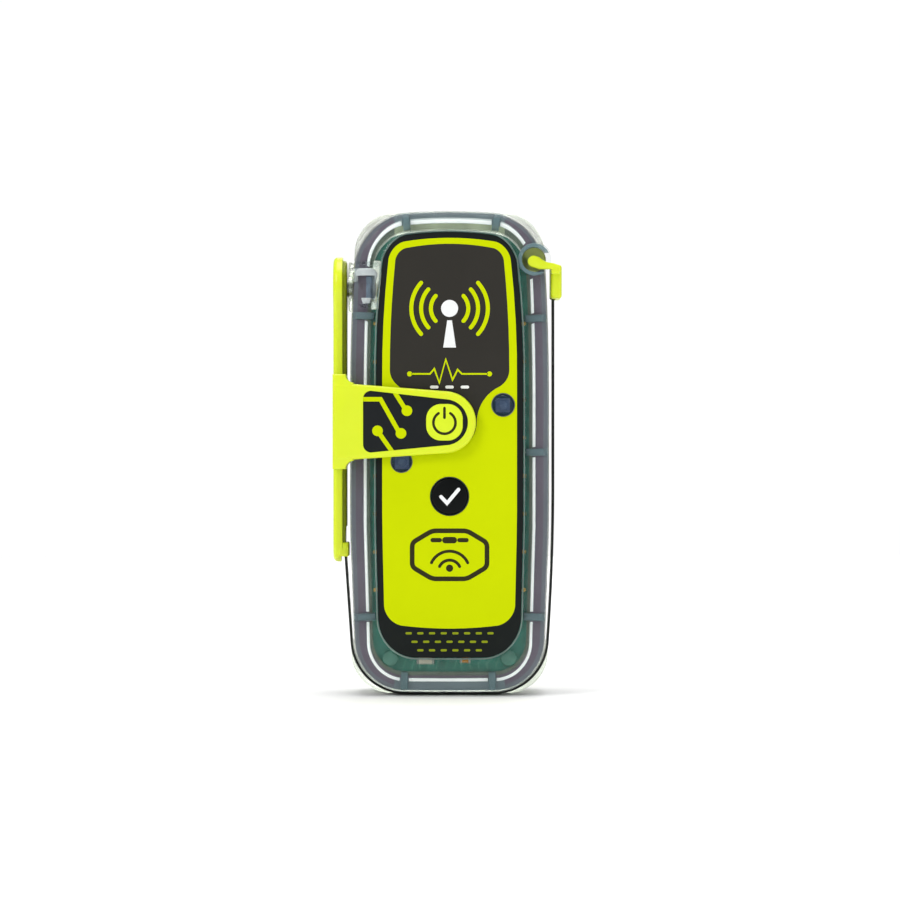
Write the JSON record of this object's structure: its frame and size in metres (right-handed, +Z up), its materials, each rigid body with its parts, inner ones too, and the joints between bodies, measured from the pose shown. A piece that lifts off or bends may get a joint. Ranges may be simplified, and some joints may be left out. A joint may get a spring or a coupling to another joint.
{
  "type": "emergency position beacon",
  "caption": "Hand-held emergency position beacon: clear two-part case, face label, test button, and a swinging arm whose flap covers the main button and whose blade antenna wraps the case.",
  "frame": {"origin": "under the middle of the bounding box, on the surface that the two bottom lips stand on", "axes": "+Z up along the case, -Y out of the face, +X to the right seen from the front"},
  "size_m": [0.0541, 0.0376, 0.1146],
  "materials": {
    "clear_case": "clear, polished",
    "seal_white": "satin",
    "label_print": "satin printed film",
    "label_dark": "satin printed film",
    "hi_vis_plastic": "satin moulded",
    "button_black": "matt",
    "soft_black": "matt",
    "spring_steel": "black coated",
    "steel": "satin",
    "board_green": "solder mask",
    "ceramic": "matt",
    "lens_clear": "clear, polished",
    "cell_wrap": "shrink sleeve",
    "cradle_grey": "matt",
    "foam": "open cell",
    "copper_alloy": "plated spring strip"
  },
  "bodies": {
    "case": {"front_shell": "clear_case", "back_shell": "clear_case", "case_seal": "seal_white", "face_label": "label_print", "back_label": "label_print", "on_button_seal": "soft_black", "test_button_seal": "soft_black", "on_switch": "button_black", "test_switch": "button_black", "strobe_lens": "lens_clear", "status_lens": "lens_clear", "strobe_led": "ceramic", "status_led": "ceramic", "main_pcb": "board_green", "gps_patch": "ceramic", "rf_shield": "steel", "amplifier_shield": "steel", "reference_oscillator": "steel", "capacitor_white": "ceramic", "capacitor_amber": "copper_alloy", "antenna_clip": "copper_alloy", "cell_left": "cell_wrap", "cell_right": "cell_wrap", "battery_cradle": "cradle_grey", "cell_link": "steel", "contact_negative": "copper_alloy", "contact_positive": "copper_alloy", "foam_pad": "foam", "hub_o_ring": "soft_black", "hub_washer": "steel", "case_screw_1": "steel", "case_screw_2": "steel", "case_screw_3": "steel", "case_screw_4": "steel"},
    "arm": {"antenna_arm": "hi_vis_plastic", "flap_label": "label_dark", "power_pad": "hi_vis_plastic", "hub_shaft": "steel", "hub_nut": "steel", "blade_root": "spring_steel"},
    "blade_left": {"blade_left_1": "spring_steel"},
    "blade_under": {"blade_bottom": "spring_steel"},
    "blade_right": {"blade_right_1": "spring_steel"},
    "blade_side": {"blade_long": "spring_steel", "blade_tip": "hi_vis_plastic"},
    "on_key": {"on_button": "hi_vis_plastic"},
    "test_key": {"test_button": "button_black"}
  },
  "joints": [
    {"name": "antenna_swing", "type": "hinge", "parent": "case", "child": "arm", "pos_m": [0, -0.0042, 0.0967], "axis": [-1, 0, 0], "range_deg": [0, 180]},
    {"name": "blade_bend_1", "type": "hinge", "parent": "arm", "child": "blade_left", "pos_m": [-0.02204, -0.0042, 0.00772], "axis": [0, 1, 0], "range_deg": [0, 45]},
    {"name": "blade_bend_2", "type": "hinge", "parent": "blade_left", "child": "blade_under", "pos_m": [-0.01513, -0.0042, 0.00127], "axis": [0, 1, 0], "range_deg": [0, 45]},
    {"name": "blade_bend_3", "type": "hinge", "parent": "blade_under", "child": "blade_right", "pos_m": [0.01513, -0.0042, 0.00127], "axis": [0, 1, 0], "range_deg": [0, 45]},
    {"name": "blade_bend_4", "type": "hinge", "parent": "blade_right", "child": "blade_side", "pos_m": [0.02204, -0.0042, 0.00772], "axis": [0, 1, 0], "range_deg": [0, 45]},
    {"name": "on_press", "type": "slide", "parent": "case", "child": "on_key", "axis": [0, 1, 0], "range_m": [0, 0.0008], "stiffness_N_per_m": 900, "springref_m": -0.0004},
    {"name": "test_press", "type": "slide", "parent": "case", "child": "test_key", "axis": [0, 1, 0], "range_m": [0, 0.0008], "stiffness_N_per_m": 900, "springref_m": -0.0004}
  ],
  "couplings": [
    {"joint": "blade_bend_1", "follows": "antenna_swing", "ratio": 0.24444},
    {"joint": "blade_bend_2", "follows": "antenna_swing", "ratio": 0.24444},
    {"joint": "blade_bend_3", "follows": "antenna_swing", "ratio": 0.24444},
    {"joint": "blade_bend_4", "follows": "antenna_swing", "ratio": 0.24444}
  ]
}
